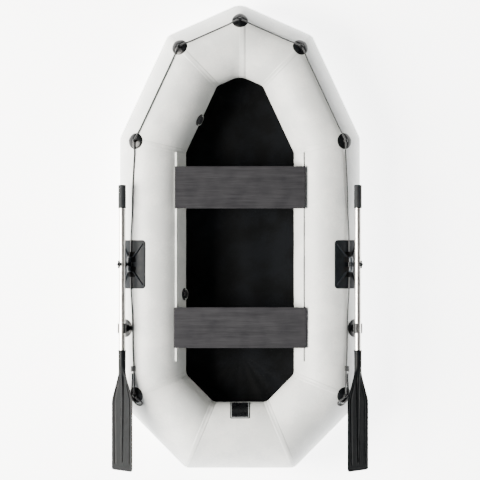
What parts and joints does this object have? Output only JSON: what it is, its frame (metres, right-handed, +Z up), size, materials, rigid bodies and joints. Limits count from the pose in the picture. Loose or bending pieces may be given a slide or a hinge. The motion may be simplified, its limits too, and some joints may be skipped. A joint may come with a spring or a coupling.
{
  "type": "inflatable rowing boat",
  "caption": "Open inflatable boat of mitred air tubes with a flat fabric bottom, sliding bench seats, folding oarlocks, two-part oars and a lifeline round the outside.",
  "frame": {"origin": "on the ground under the middle of the boat with its oars shipped", "axes": "+Y towards the bow, +Z up, +X to starboard"},
  "size_m": [1.3726, 2.506, 0.4226],
  "materials": {
    "hull_fabric": "satin",
    "bottom_fabric": "matte",
    "black_rubber": "satin",
    "dark_plastic": "satin",
    "blade_plastic": "satin",
    "shaft_metal": "satin",
    "seat_board": "matte",
    "rope": "matte",
    "spring_steel": "satin",
    "rail_plastic": "satin",
    "bulkhead_fabric": "satin"
  },
  "bodies": {
    "hull": {"tube_bow_right": "hull_fabric", "tube_shoulder_right": "hull_fabric", "tube_side_right": "hull_fabric", "tube_quarter_right": "hull_fabric", "tube_stern": "hull_fabric", "tube_quarter_left": "hull_fabric", "tube_side_left": "hull_fabric", "tube_shoulder_left": "hull_fabric", "tube_bow_left": "hull_fabric", "bulkhead_left": "bulkhead_fabric", "bulkhead_right": "bulkhead_fabric", "bottom_sheet": "bottom_fabric", "maker_plate": "black_rubber", "seat_rail_left": "rail_plastic", "seat_rail_right": "rail_plastic", "eyelet_bow": "black_rubber", "eyelet_shoulder_left": "black_rubber", "eyelet_shoulder_right": "black_rubber", "eyelet_fore_left": "black_rubber", "eyelet_fore_right": "black_rubber", "eyelet_aft_left": "black_rubber", "eyelet_aft_right": "black_rubber", "lifeline": "rope", "oarlock_pad_right": "dark_plastic", "hinge_pin_right": "spring_steel", "oar_holder_right": "black_rubber", "oar_clip_right": "black_rubber", "oarlock_pad_left": "dark_plastic", "hinge_pin_left": "spring_steel", "oar_holder_left": "black_rubber", "oar_clip_left": "black_rubber", "valve_body_front": "black_rubber", "valve_spring_front": "spring_steel", "valve_body_rear": "black_rubber", "valve_spring_rear": "spring_steel"},
    "seat_front": {"seat_board_front": "seat_board", "seat_track_front_left": "shaft_metal", "seat_track_front_right": "shaft_metal"},
    "seat_rear": {"seat_board_rear": "seat_board", "seat_track_rear_left": "shaft_metal", "seat_track_rear_right": "shaft_metal"},
    "oarlock_right": {"oarlock_swivel_right": "dark_plastic"},
    "nut_right": {"wing_nut_right": "dark_plastic"},
    "oar_right": {"oar_grip_right": "black_rubber", "oar_shaft_upper_right": "shaft_metal", "oar_shaft_lower_right": "shaft_metal", "oar_blade_right": "blade_plastic"},
    "button_right": {"snap_button_right": "spring_steel"},
    "oarlock_left": {"oarlock_swivel_left": "dark_plastic"},
    "nut_left": {"wing_nut_left": "dark_plastic"},
    "oar_left": {"oar_grip_left": "black_rubber", "oar_shaft_upper_left": "shaft_metal", "oar_shaft_lower_left": "shaft_metal", "oar_blade_left": "blade_plastic"},
    "button_left": {"snap_button_left": "spring_steel"},
    "valve_cap_front": {"valve_cap_front": "black_rubber"},
    "valve_poppet_front": {"valve_poppet_front": "dark_plastic"},
    "valve_cap_rear": {"valve_cap_rear": "black_rubber"},
    "valve_poppet_rear": {"valve_poppet_rear": "dark_plastic"}
  },
  "joints": [
    {"name": "seat_front_slide", "type": "slide", "parent": "hull", "child": "seat_front", "axis": [0, 1, 0], "range_m": [-0.25, 0.08]},
    {"name": "seat_rear_slide", "type": "slide", "parent": "hull", "child": "seat_rear", "axis": [0, 1, 0], "range_m": [-0.06, 0.25]},
    {"name": "oarlock_fold_right", "type": "hinge", "parent": "hull", "child": "oarlock_right", "pos_m": [0.59401, -0.146, 0.33228], "axis": [0, -1, 0], "range_deg": [0, 39]},
    {"name": "oar_sweep_right", "type": "hinge", "parent": "oarlock_right", "child": "oar_right", "pos_m": [0.63019, -0.146, 0.37696], "axis": [0.6293, 0, 0.7771], "range_deg": [0, 140], "deforming": ["oar_clip_right"]},
    {"name": "wing_nut_turn_right", "type": "hinge", "parent": "oarlock_right", "child": "nut_right", "pos_m": [0.64479, -0.146, 0.39499], "axis": [0.6293, 0, 0.7771], "continuous": true},
    {"name": "snap_button_press_right", "type": "slide", "parent": "oar_right", "child": "button_right", "axis": [0.6293, 0, 0.7771], "range_m": [0, 0.004], "stiffness_N_per_m": 800, "springref_m": -0.002},
    {"name": "oarlock_fold_left", "type": "hinge", "parent": "hull", "child": "oarlock_left", "pos_m": [-0.59401, -0.146, 0.33228], "axis": [0, 1, 0], "range_deg": [0, 39]},
    {"name": "oar_sweep_left", "type": "hinge", "parent": "oarlock_left", "child": "oar_left", "pos_m": [-0.63019, -0.146, 0.37696], "axis": [0.6293, 0, -0.7771], "range_deg": [0, 140], "deforming": ["oar_clip_left"]},
    {"name": "wing_nut_turn_left", "type": "hinge", "parent": "oarlock_left", "child": "nut_left", "pos_m": [-0.64479, -0.146, 0.39499], "axis": [-0.6293, 0, 0.7771], "continuous": true},
    {"name": "snap_button_press_left", "type": "slide", "parent": "oar_left", "child": "button_left", "axis": [-0.6293, 0, 0.7771], "range_m": [0, 0.004], "stiffness_N_per_m": 800, "springref_m": -0.002},
    {"name": "valve_cap_open_front", "type": "hinge", "parent": "hull", "child": "valve_cap_front", "pos_m": [-0.21673, 0.62771, 0.25937], "axis": [-0.4231, -0.9061, 0], "range_deg": [0, 90]},
    {"name": "valve_poppet_press_front", "type": "slide", "parent": "hull", "child": "valve_poppet_front", "axis": [-0.8618, 0.4024, -0.309], "range_m": [0, 0.005], "stiffness_N_per_m": 400, "springref_m": -0.003, "deforming": ["valve_spring_front"]},
    {"name": "valve_cap_open_rear", "type": "hinge", "parent": "hull", "child": "valve_cap_rear", "pos_m": [-0.29703, -0.3058, 0.25937], "axis": [0, -1, 0], "range_deg": [0, 90]},
    {"name": "valve_poppet_press_rear", "type": "slide", "parent": "hull", "child": "valve_poppet_rear", "axis": [-0.9511, 0, -0.309], "range_m": [0, 0.005], "stiffness_N_per_m": 400, "springref_m": -0.003, "deforming": ["valve_spring_rear"]}
  ]
}
